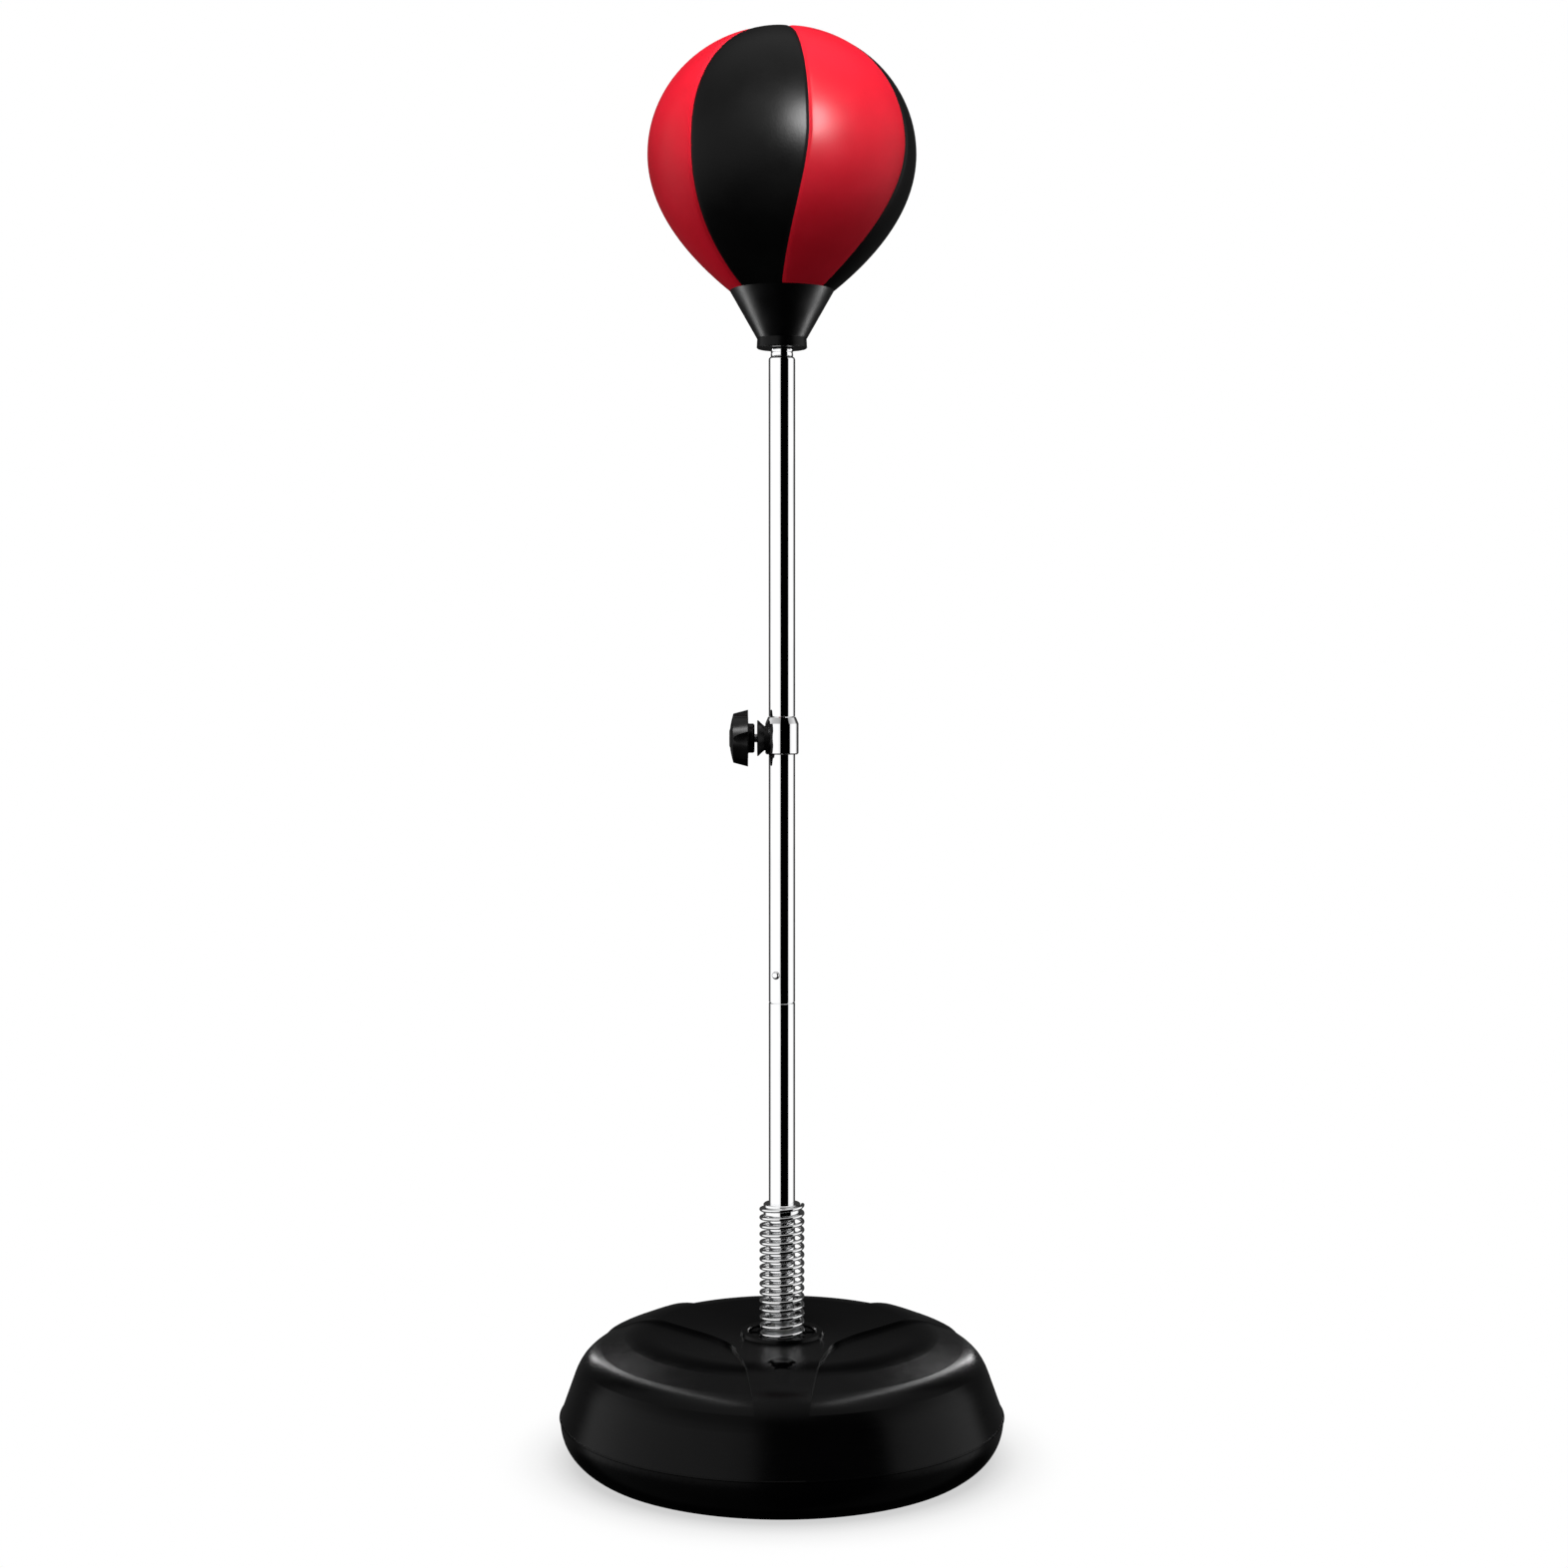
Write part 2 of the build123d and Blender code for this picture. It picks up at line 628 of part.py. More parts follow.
with BuildPart() as clamp_boss:
    with BuildSketch(clamp_side):
        with BuildLine():
            Polyline(
                (BOSS_OUT, CLAMP_NUT_R),
                (COLLAR_R - 6, CLAMP_NUT_R),
                (COLLAR_R - 6, BOSS_NECK_R),
                (COLLAR_R + 0.8, BOSS_NECK_R),
            )
            flare = ThreePointArc(
                (COLLAR_R + 0.8, BOSS_NECK_R), (COLLAR_R + 3.6, 14.2), (BOSS_OUT - 1.2, BOSS_R)
            )
            Polyline(flare @ 1, (BOSS_OUT, BOSS_R), (BOSS_OUT, CLAMP_NUT_R))
        make_face()
    revolve(axis=clamp_axis)
    Cylinder(COLLAR_R, 4 * mid_top, mode=Mode.SUBTRACT)
save(clamp_boss, "clamp_boss")

with BuildPart() as pressure_shoe:
    with BuildSketch(clamp_out):
        Circle(SHOE_R)
    extrude(amount=SHOE_LEN)
    Cylinder(INNER_R + RUN, 4 * mid_top, mode=Mode.SUBTRACT)
save(pressure_shoe, "pressure_shoe")

hub_out = BOSS_OUT + KNOB_GAP
disc_out = hub_out + HUB_LEN
front_out = disc_out + KNOB_LEN
cap_out = front_out + KNOB_DOME - CAP_T
with BuildPart() as clamp_screw:
    with BuildSketch(clamp_out.offset(SHOE_LEN + RUN)):
        Circle(SCREW_R)
    extrude(amount=hub_out + SCREW_IN_KNOB - PRESS - SHOE_LEN - RUN)
    chamfer(clamp_screw.faces().sort_by(Axis.X)[-1].edges(), length=0.8)
save(clamp_screw, "clamp_screw")

with BuildPart() as knob_body:
    with BuildSketch(clamp_side) as knob_section:
        with BuildLine():
            Polyline(
                (hub_out + SCREW_IN_KNOB, 0),
                (hub_out + SCREW_IN_KNOB, SCREW_R + PRESS),
                (hub_out, SCREW_R + PRESS),
                (hub_out, HUB_R - 1.2),
                (hub_out + 1.2, HUB_R),
                (disc_out, HUB_R),
                (disc_out, KNOB_R),
                (front_out, KNOB_FRONT_R),
            )
            ThreePointArc(
                (front_out, KNOB_FRONT_R),
                (front_out + 0.74 * KNOB_DOME, KNOB_FRONT_R / 2),
                (front_out + KNOB_DOME, 0),
            )
            Line((front_out + KNOB_DOME, 0), (hub_out + SCREW_IN_KNOB, 0))
        make_face()
        fillet(knob_section.vertices().sort_by(Axis.Z)[-1], radius=1.2)
        front_rim = knob_section.vertices().filter_by_position(Axis.X, -front_out - 0.01, -front_out + 0.01)
        fillet(front_rim, radius=2.2)
    revolve(axis=clamp_axis)
    with BuildSketch(clamp_out.offset(disc_out)):
        with PolarLocations(KNOB_R + FLUTE_OUT, KNOB_LOBES):
            Circle(FLUTE_R)
    extrude(amount=KNOB_LEN + KNOB_DOME, mode=Mode.SUBTRACT)
    with BuildSketch(clamp_out.offset(cap_out)):
        Circle(CAP_R)
    extrude(amount=CAP_T, mode=Mode.SUBTRACT)
save(knob_body, "knob_body")

with BuildPart() as knob_cap:
    with BuildSketch(clamp_out.offset(cap_out)):
        Circle(CAP_R)
    extrude(amount=CAP_T)
    fillet(knob_cap.faces().sort_by(Axis.X)[0].edges(), radius=0.7)
save(knob_cap, "knob_cap")

# ---------------------------------------------------------------- upper pole
upper_z = collar_top + FREE
upper_top = upper_z + UPPER_LEN
inner_low = mid_top - INNER_BELOW
inner_top = upper_z + INNER_ABOVE
bush_low = inner_low - INNER_BUSH_OUT
bush_top = bush_low + INNER_BUSH_LEN
bush_r = tube_bore - RUN

with BuildPart() as inner_tube:
    add(tube_with_bore(INNER_R, INNER_R - TUBE_WALL, inner_low, inner_top))
save(inner_tube, "inner_tube")

with BuildPart() as inner_tube_bush:
    with BuildSketch(Plane.XZ):
        with BuildLine():
            Polyline(
                (7, bush_low),
                (bush_r - 0.8, bush_low),
                (bush_r, bush_low + 0.8),
                (bush_r, inner_low),
                (INNER_R - TUBE_WALL, inner_low),
                (INNER_R - TUBE_WALL, bush_top),
                (7, bush_top),
                close=True,
            )
        make_face()
    revolve(axis=Axis.Z)
save(inner_tube_bush, "inner_tube_bush")

with BuildPart() as tube_sleeve:
    add(tube_with_bore(tube_bore, INNER_R, upper_z + 1, inner_top - 1))
save(tube_sleeve, "tube_sleeve")

with BuildPart() as upper_tube:
    with BuildSketch(Plane.XZ) as upper_section:
        with BuildLine():
            FilletPolyline(
                (STUD_R, upper_top), (TUBE_R, upper_top), (TUBE_R, upper_z), (tube_bore, upper_z),
                radius=[TUBE_CROWN, 0.3],
            )
            FilletPolyline(
                (tube_bore, upper_z), (tube_bore, upper_top - TOP_T), (STUD_R, upper_top - TOP_T),
                radius=[TUBE_CROWN - TUBE_WALL],
            )
            Line((STUD_R, upper_top - TOP_T), (STUD_R, upper_top))
        make_face()
    revolve(axis=Axis.Z)
save(upper_tube, "upper_tube")

with BuildPart() as tube_top_plug:
    top_plug_z = upper_top - TUBE_CROWN - 0.6
    add(tube_with_bore(tube_bore, STUD_R, top_plug_z - TOP_PLUG_LEN, top_plug_z))
save(tube_top_plug, "tube_top_plug")

# ---------------------------------------------------------------- neck and cup
cup_z = upper_top + 2 * NUT_H + FREE
rim_z = cup_z + CUP_H
ball_z = rim_z + RIM_DROP
insert_z = cup_z + INSERT_UP
ball_end_drop = sqrt((BALL_R - BALL_END_R) / BALL_CURVE)

with BuildPart() as ball_stud:
    add(tube_with_bore(STUD_R, 0, upper_top - STUD_BELOW, insert_z + INSERT_T))
    chamfer(ball_stud.edges().filter_by(GeomType.CIRCLE), length=0.8)
save(ball_stud, "ball_stud")

with BuildPart() as neck_nuts:
    for level in range(2):
        add(tube_with_bore(NUT_R, STUD_R, upper_top + level * NUT_H, upper_top + (level + 1) * NUT_H - 0.1))
    chamfer(neck_nuts.edges().filter_by(lambda e: e.length > 2 * pi * (NUT_R - 0.1)), length=0.6)
save(neck_nuts, "neck_nuts")


def lower_curve(drop_low, drop_high, grow):
    """The ball's lower half between two depths under its widest ring, grown sideways."""
    return Bezier(
        (BALL_R - BALL_CURVE * drop_low**2 + grow, ball_z - drop_low),
        (BALL_R - BALL_CURVE * drop_low * drop_high + grow, ball_z - (drop_low + drop_high) / 2),
        (BALL_R - BALL_CURVE * drop_high**2 + grow, ball_z - drop_high),
    )


with BuildPart() as ball_cup:
    with BuildSketch(Plane.XZ):
        with BuildLine():
            bowl = lower_curve(ball_end_drop, RIM_DROP, 0.4)
            Polyline(
                bowl @ 1,
                (CUP_RIM_R, rim_z),
                (CUP_NECK_R, cup_z + CUP_NECK_H),
                (CUP_NECK_R - 0.4, cup_z + CUP_NECK_H - 0.4),
                (CUP_NECK_R + 0.1, cup_z + 0.8),
                (CUP_NECK_R - 0.7, cup_z),
                (STUD_R + FREE, cup_z),
                (STUD_R + FREE, insert_z),
                ((bowl @ 0).X, insert_z),
                bowl @ 0,
            )
        make_face()
    revolve(axis=Axis.Z)
save(ball_cup, "ball_cup")

with BuildPart() as cup_insert:
    add(tube_with_bore(BALL_END_R, STUD_R, insert_z, insert_z + INSERT_T))
save(cup_insert, "cup_insert")

# ---------------------------------------------------------------- ball
valve_lat = radians(VALVE_LAT)
valve_flat = (BALL_R * cos(valve_lat), BALL_RISE * sin(valve_lat))
valve_tilt = (cos(valve_lat) / BALL_R, sin(valve_lat) / BALL_RISE)
valve_turn = (cos(radians(VALVE_ANGLE)), sin(radians(VALVE_ANGLE)))
valve_out = Plane(
    origin=(valve_flat[0] * valve_turn[0], valve_flat[0] * valve_turn[1], ball_z + valve_flat[1]),
    x_dir=(-valve_turn[1], valve_turn[0], 0),
    z_dir=(valve_tilt[0] * valve_turn[0], valve_tilt[0] * valve_turn[1], valve_tilt[1]),
)


def ball_face(shrink, plane):
    """Half section of the ball, its skin taken away by shrink, on a plane through Z."""
    width = BALL_R - shrink
    height = BALL_RISE - shrink
    end_r = BALL_END_R - shrink * LOWER_SLANT
    with BuildSketch(plane) as section:
        with BuildLine():
            EllipticalCenterArc((0, ball_z), width, height, start_angle=0, arc_size=90)
            Bezier(
                (width, ball_z),
                (width, ball_z - ball_end_drop / 2),
                (end_r, ball_z - ball_end_drop),
            )
            Polyline((end_r, ball_z - ball_end_drop), (0, ball_z - ball_end_drop), (0, ball_z + height))
        make_face()
    return section.sketch


def valve_hole():
    """A cylinder through the skin and the bladder where the valve's stem passes."""
    with BuildPart() as drill:
        with BuildSketch(valve_out.offset(-2 * VALVE_DEPTH)):
            Circle(VALVE_R + NEST)
        extrude(amount=3 * VALVE_DEPTH)
    return drill.part


for number, start in enumerate(SEAMS):
    sweep_deg = (SEAMS[(number + 1) % len(SEAMS)] - start) % 360
    seam_plane = Plane.XZ.rotated((0, 0, start))
    colour = "red" if number % 2 == 0 else "black"
    with BuildPart() as panel:
        revolve(ball_face(0, seam_plane), axis=Axis.Z, revolution_arc=sweep_deg)
        revolve(ball_face(SKIN_T, seam_plane), axis=Axis.Z, revolution_arc=sweep_deg, mode=Mode.SUBTRACT)
        if start < VALVE_ANGLE < start + sweep_deg:
            add(valve_hole(), mode=Mode.SUBTRACT)
    save(panel, f"ball_panel_{colour}_{number // 2 + 1}")

bladder_low = ball_z - ball_end_drop + 2
with BuildPart() as bladder_air:
    revolve(ball_face(SKIN_T + NEST + BLADDER_T, Plane.XZ), axis=Axis.Z)
    split(bisect_by=Plane.XY.offset(bladder_low + BLADDER_T), keep=Keep.TOP)

with BuildPart() as ball_bladder:
    revolve(ball_face(SKIN_T + NEST, Plane.XZ), axis=Axis.Z)
    split(bisect_by=Plane.XY.offset(bladder_low), keep=Keep.TOP)
    add(bladder_air.part, mode=Mode.SUBTRACT)
    add(valve_hole(), mode=Mode.SUBTRACT)
save(ball_bladder, "ball_bladder")

with BuildPart() as inflation_valve:
    with BuildSketch(valve_out.offset(-VALVE_DEPTH)):
        Circle(VALVE_R)
        Circle(VALVE_BORE_R, mode=Mode.SUBTRACT)
    extrude(amount=VALVE_DEPTH + VALVE_PROUD)
save(inflation_valve, "inflation_valve")
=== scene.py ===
import bpy
import json
import math
from mathutils import Matrix, Vector

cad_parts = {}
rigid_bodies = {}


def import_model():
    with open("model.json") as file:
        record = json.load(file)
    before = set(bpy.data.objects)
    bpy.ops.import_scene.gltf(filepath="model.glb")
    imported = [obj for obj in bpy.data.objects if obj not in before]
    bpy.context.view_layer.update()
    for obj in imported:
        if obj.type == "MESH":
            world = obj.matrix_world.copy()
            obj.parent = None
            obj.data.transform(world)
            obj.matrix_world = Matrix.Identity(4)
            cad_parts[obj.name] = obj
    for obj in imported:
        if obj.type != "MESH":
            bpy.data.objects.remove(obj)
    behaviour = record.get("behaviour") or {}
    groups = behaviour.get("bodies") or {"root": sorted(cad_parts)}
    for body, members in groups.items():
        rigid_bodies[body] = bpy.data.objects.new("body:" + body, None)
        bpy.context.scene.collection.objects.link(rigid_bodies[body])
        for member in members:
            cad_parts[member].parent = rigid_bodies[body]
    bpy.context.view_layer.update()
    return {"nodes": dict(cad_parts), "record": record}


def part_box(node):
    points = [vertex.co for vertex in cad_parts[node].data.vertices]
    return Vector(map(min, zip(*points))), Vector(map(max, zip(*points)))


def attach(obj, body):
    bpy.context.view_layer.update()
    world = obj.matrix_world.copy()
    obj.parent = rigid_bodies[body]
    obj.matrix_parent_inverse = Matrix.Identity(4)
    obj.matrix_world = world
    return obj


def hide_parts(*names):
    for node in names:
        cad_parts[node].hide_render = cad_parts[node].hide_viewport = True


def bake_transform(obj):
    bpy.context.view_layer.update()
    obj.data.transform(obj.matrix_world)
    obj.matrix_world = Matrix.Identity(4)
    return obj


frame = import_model()
MM = 0.001


# ------------------------------------------------------------------ places read from the frame
def node_low(node):
    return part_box(node)[0]


def node_high(node):
    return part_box(node)[1]


RIM_Z = node_high("ball_cup").z
BALL_TOP = node_high("ball_panel_red_1").z
BALL_R = node_high("ball_panel_black_1").x
BALL_RISE = 118.5 * MM
BALL_Z = BALL_TOP - BALL_RISE
BALL_CURVE = 4.833            # per metre: how fast the ball's lower half narrows
BALL_END_DROP = BALL_Z - node_low("ball_panel_red_1").z
SKIN_T = 2.4 * MM
SKIN_STEPS = 144              # faces round the ball
LOWER_ROWS = 30
UPPER_ROWS = 36
TOP_HOLE_R = 0.2 * MM         # last ring before the skin closes
SEAMS = (-78.7, -24.8, 38.6, 102.1, 165.5, 229.0)  # degrees from +X
SEAM_CUTS = (0.35, 0.8, 1.4, 2.2)                  # degrees: finer rows beside each seam
TWIST = -15.0                 # degrees the seams lean round by the cup
TWIST_POWER = 1.5
VALLEY_DEPTH = 1.1 * MM       # how deep a panel's edge sinks into its seam
VALLEY_WIDTH = 2.0 * MM
CROWNING = 0.5 * MM           # how far a panel's middle swells
CROWN_POWER = 0.7
CROWN_FADE_R = 25 * MM        # nearer to the axis both fade out
SPRING_Z = node_low("coil_spring").z
SPRING_TOP = node_high("coil_spring").z
WIRE_R = 1.9 * MM
COIL_R = 20.0 * MM
SPRING_TURNS = 16
SPRING_STEPS = 64             # faces along one turn of the wire
WIRE_SIDES = 16
MERGE = 1e-6                  # points closer than this are one


# ------------------------------------------------------------------ modelling helpers
def deselect():
    bpy.ops.object.select_all(action="DESELECT")


def edit(piece):
    """Open a piece in edit mode with nothing selected."""
    deselect()
    bpy.context.view_layer.objects.active = piece
    piece.select_set(True)
    bpy.ops.object.mode_set(mode="EDIT")
    bpy.ops.mesh.select_all(action="DESELECT")


def leave():
    bpy.ops.object.mode_set(mode="OBJECT")


def added(name):
    """Name the primitive that was just added and put its place into its mesh."""
    piece = bpy.context.active_object
    piece.name = name
    piece.data.name = name
    bpy.ops.object.transform_apply(location=True, rotation=True, scale=True)
    return piece


def applied(piece, kind, **settings):
    """Add a modifier, set it up and apply it."""
    deselect()
    bpy.context.view_layer.objects.active = piece
    piece.select_set(True)
    modifier = piece.modifiers.new(kind.title(), kind)
    for key, value in settings.items():
        setattr(modifier, key, value)
    bpy.ops.object.modifier_apply(modifier=modifier.name)
    return piece


def tidy_normals(piece):
    edit(piece)
    bpy.ops.mesh.select_all(action="SELECT")
    bpy.ops.mesh.remove_doubles(threshold=MERGE)
    bpy.ops.mesh.normals_make_consistent(inside=False)
    leave()


def smooth(piece, degrees=35):
    deselect()
    bpy.context.view_layer.objects.active = piece
    piece.select_set(True)
    bpy.ops.object.shade_smooth_by_angle(angle=math.radians(degrees))
    return piece


def turned(name, outline, steps=96, close_end=False):
    """A piece turned about the pole's axis: a ring extruded and scaled along an outline of (r, z)."""
    r, z = outline[0]
    deselect()
    bpy.ops.mesh.primitive_circle_add(vertices=steps, radius=r, location=(0, 0, z))
    piece = added(name)
    bpy.ops.object.mode_set(mode="EDIT")
    bpy.ops.mesh.select_all(action="SELECT")
    for next_r, next_z in outline[1:]:
        bpy.ops.mesh.extrude_edges_move(TRANSFORM_OT_translate={"value": (0, 0, next_z - z)})
        scale = next_r / r
        bpy.ops.transform.resize(value=(scale, scale, 1), center_override=(0, 0, next_z))
        r, z = next_r, next_z
    if close_end:
        bpy.ops.mesh.merge(type="CENTER")
    leave()
    tidy_normals(piece)
    return piece


# ------------------------------------------------------------------ finishes
def new_finish(name):
    material = bpy.data.materials.new(name)
    material.use_nodes = True
    return material, material.node_tree, material.node_tree.nodes["Principled BSDF"]


def object_noise(tree, scale, detail=4.0, roughness=0.5, stretch=(1, 1, 1)):
    """Noise fixed to the piece, with its own stretch."""
    coordinates = tree.nodes.new("ShaderNodeTexCoord")
    mapping = tree.nodes.new("ShaderNodeMapping")
    mapping.inputs["Scale"].default_value = stretch
    noise = tree.nodes.new("ShaderNodeTexNoise")
    noise.inputs["Scale"].default_value = scale
    noise.inputs["Detail"].default_value = detail
    noise.inputs["Roughness"].default_value = roughness
    tree.links.new(coordinates.outputs["Object"], mapping.inputs["Vector"])
    tree.links.new(mapping.outputs["Vector"], noise.inputs["Vector"])
    return noise


def spread_to(tree, source, low, high, from_low=0.3, from_high=0.7):
    """Map a texture's value onto a range."""
    ranged = tree.nodes.new("ShaderNodeMapRange")
    ranged.inputs["From Min"].default_value = from_low
    ranged.inputs["From Max"].default_value = from_high
    ranged.inputs["To Min"].default_value = low
    ranged.inputs["To Max"].default_value = high
    tree.links.new(source, ranged.inputs["Value"])
    return ranged.outputs["Result"]


def two_tone(tree, source, dark, light, from_low=0.3, from_high=0.7):
    """A colour that runs from dark to light with a texture's value."""
    ramp = tree.nodes.new("ShaderNodeValToRGB")
    ramp.color_ramp.elements[0].position = from_low
    ramp.color_ramp.elements[0].color = (*dark, 1)
    ramp.color_ramp.elements[1].position = from_high
    ramp.color_ramp.elements[1].color = (*light, 1)
    tree.links.new(source, ramp.inputs["Fac"])
    return ramp.outputs["Color"]


def relief(tree, shader, heights, strength, distance):
    """Bump from several heights, one above the other."""
    last = None
    for height, share in heights:
        bump = tree.nodes.new("ShaderNodeBump")
        bump.inputs["Strength"].default_value = strength * share
        bump.inputs["Distance"].default_value = distance
        tree.links.new(height, bump.inputs["Height"])
        if last:
            tree.links.new(last, bump.inputs["Normal"])
        last = bump.outputs["Normal"]
    tree.links.new(last, shader.inputs["Normal"])


def moulded_plastic():
    """Satin black blow-moulded plastic with a fine etched grain and faint handling marks."""
    material, tree, shader = new_finish("moulded_plastic")
    cloud = object_noise(tree, 14, 5)
    grain = object_noise(tree, 900, 2)
    mark = object_noise(tree, 60, 6, 0.7, (1, 1, 3))
    colour = two_tone(tree, cloud.outputs["Fac"], (0.0010, 0.0010, 0.0011), (0.0022, 0.0022, 0.0024))
    tree.links.new(colour, shader.inputs["Base Color"])
    rough = spread_to(tree, mark.outputs["Fac"], 0.20, 0.26)
    tree.links.new(rough, shader.inputs["Roughness"])
    shader.inputs["Specular IOR Level"].default_value = 0.11
    relief(tree, shader, [(grain.outputs["Fac"], 1.0), (cloud.outputs["Fac"], 0.6)], 0.02, 0.0003)
    return material


def chrome_plate():
    """Bright chrome with hair-fine polishing marks along the pole."""
    material, tree, shader = new_finish("chrome_plate")
    shader.inputs["Metallic"].default_value = 1.0
    haze = object_noise(tree, 30, 5)
    hairline = object_noise(tree, 350, 3, 0.6, (1, 1, 0.05))
    colour = two_tone(tree, haze.outputs["Fac"], (0.86, 0.865, 0.87), (0.93, 0.93, 0.935))
    tree.links.new(colour, shader.inputs["Base Color"])
    rough = spread_to(tree, hairline.outputs["Fac"], 0.03, 0.06)
    tree.links.new(rough, shader.inputs["Roughness"])
    relief(tree, shader, [(haze.outputs["Fac"], 1.0)], 0.01, 0.0002)
    return material


def zinc_plate():
    """Dull zinc plating, slightly cloudy."""
    material, tree, shader = new_finish("zinc_plate")
    shader.inputs["Metallic"].default_value = 1.0
    cloud = object_noise(tree, 120, 6, 0.65)
    colour = two_tone(tree, cloud.outputs["Fac"], (0.42, 0.43, 0.44), (0.62, 0.63, 0.63))
    tree.links.new(colour, shader.inputs["Base Color"])
    tree.links.new(spread_to(tree, cloud.outputs["Fac"], 0.28, 0.46), shader.inputs["Roughness"])
    relief(tree, shader, [(cloud.outputs["Fac"], 1.0)], 0.08, 0.0003)
    return material


def moulded_rubber():
    """Smooth black rubber with a soft sheen."""
    material, tree, shader = new_finish("moulded_rubber")
    cloud = object_noise(tree, 45, 5)
    grain = object_noise(tree, 1400, 2)
    colour = two_tone(tree, cloud.outputs["Fac"], (0.0012, 0.0012, 0.0013), (0.0026, 0.0026, 0.0028))
    tree.links.new(colour, shader.inputs["Base Color"])
    tree.links.new(spread_to(tree, cloud.outputs["Fac"], 0.28, 0.36), shader.inputs["Roughness"])
    shader.inputs["Specular IOR Level"].default_value = 0.14
    relief(tree, shader, [(grain.outputs["Fac"], 1.0)], 0.04, 0.0003)
    return material


def knob_plastic():
    """Glossy black moulding of the clamp's knob."""
    material, tree, shader = new_finish("knob_plastic")
    cloud = object_noise(tree, 80, 4)
    colour = two_tone(tree, cloud.outputs["Fac"], (0.0012, 0.0012, 0.0012), (0.0026, 0.0026, 0.0026))
    tree.links.new(colour, shader.inputs["Base Color"])
    tree.links.new(spread_to(tree, cloud.outputs["Fac"], 0.22, 0.34), shader.inputs["Roughness"])
    shader.inputs["Specular IOR Level"].default_value = 0.25
    relief(tree, shader, [(cloud.outputs["Fac"], 1.0)], 0.04, 0.0003)
    return material


def nylon():
    """Milky nylon of the bushes and washers."""
    material, tree, shader = new_finish("nylon")
    cloud = object_noise(tree, 60, 3)
    colour = two_tone(tree, cloud.outputs["Fac"], (0.62, 0.61, 0.57), (0.72, 0.71, 0.68))
    tree.links.new(colour, shader.inputs["Base Color"])
    tree.links.new(spread_to(tree, cloud.outputs["Fac"], 0.35, 0.5), shader.inputs["Roughness"])
    relief(tree, shader, [(cloud.outputs["Fac"], 1.0)], 0.05, 0.0003)
    return material


def sand():
    """Dry sand of the ballast."""
    material, tree, shader = new_finish("sand")
    grain = object_noise(tree, 1200, 3)
    colour = two_tone(tree, grain.outputs["Fac"], (0.40, 0.31, 0.20), (0.70, 0.60, 0.44))
    tree.links.new(colour, shader.inputs["Base Color"])
    tree.links.new(spread_to(tree, grain.outputs["Fac"], 0.8, 1.0), shader.inputs["Roughness"])
    relief(tree, shader, [(grain.outputs["Fac"], 1.0)], 0.5, 0.001)
    return material


def bladder_rubber():
    """Matte latex of the bladder."""
    material, tree, shader = new_finish("bladder_rubber")
    cloud = object_noise(tree, 40, 4)
    colour = two_tone(tree, cloud.outputs["Fac"], (0.05, 0.045, 0.04), (0.09, 0.08, 0.07))
    tree.links.new(colour, shader.inputs["Base Color"])
    tree.links.new(spread_to(tree, cloud.outputs["Fac"], 0.55, 0.7), shader.inputs["Roughness"])
    return material


def panel_leather(name, dark, light):
    """Glossy coated leather: shallow pebbles, finer pores and a little colour variation."""
    material, tree, shader = new_finish(name)
    coordinates = tree.nodes.new("ShaderNodeTexCoord")
    cloud = object_noise(tree, 18, 5)
    pores = object_noise(tree, 1800, 3)
    pebble = tree.nodes.new("ShaderNodeTexVoronoi")
    pebble.feature = "SMOOTH_F1"
    pebble.inputs["Scale"].default_value = 620
    tree.links.new(coordinates.outputs["Object"], pebble.inputs["Vector"])
    colour = two_tone(tree, cloud.outputs["Fac"], dark, light)
    tree.links.new(colour, shader.inputs["Base Color"])
    tree.links.new(spread_to(tree, cloud.outputs["Fac"], 0.34, 0.44), shader.inputs["Roughness"])
    shader.inputs["Specular IOR Level"].default_value = 0.11
    relief(tree, shader, [(pebble.outputs["Distance"], 1.0), (pores.outputs["Fac"], 0.5)], 0.12, 0.0004)
    return material


FINISHES = {
    "base_plastic": moulded_plastic(),
    "sand": sand(),
    "chrome": chrome_plate(),
    "zinc_steel": zinc_plate(),
    "black_rubber": moulded_rubber(),
    "knob_plastic": knob_plastic(),
    "white_nylon": nylon(),
    "bladder_rubber": bladder_rubber(),
    "red_leather": panel_leather("red_leather", (0.78, 0.009, 0.026), (0.88, 0.012, 0.034)),
    "black_leather": panel_leather("black_leather", (0.0016, 0.0016, 0.0016), (0.003, 0.003, 0.003)),
}


def dress(piece, finish):
    piece.data.materials.clear()
    piece.data.materials.append(FINISHES[finish])


def dress_frame():
    """Every carried-over node gets the finish of its material slot."""
    for part in frame["record"]["subparts"]:
        node = frame["nodes"][part["node"]]
        node.data.materials.clear()
        node.data.materials.append(FINISHES[part["material_slot"]])


# ------------------------------------------------------------------ ball
def ball_outline():
    """(r, z) of the ball's skin from its lower opening to its top."""
    points = []
    for row in range(LOWER_ROWS):
        drop = BALL_END_DROP * (1 - row / LOWER_ROWS)
        points.append((BALL_R - BALL_CURVE * drop**2, BALL_Z - drop))
    for row in range(UPPER_ROWS):
        rise = math.radians(90 * row / UPPER_ROWS)
        points.append((BALL_R * math.cos(rise), BALL_Z + BALL_RISE * math.sin(rise)))
    points.append((TOP_HOLE_R, BALL_TOP))
    return points


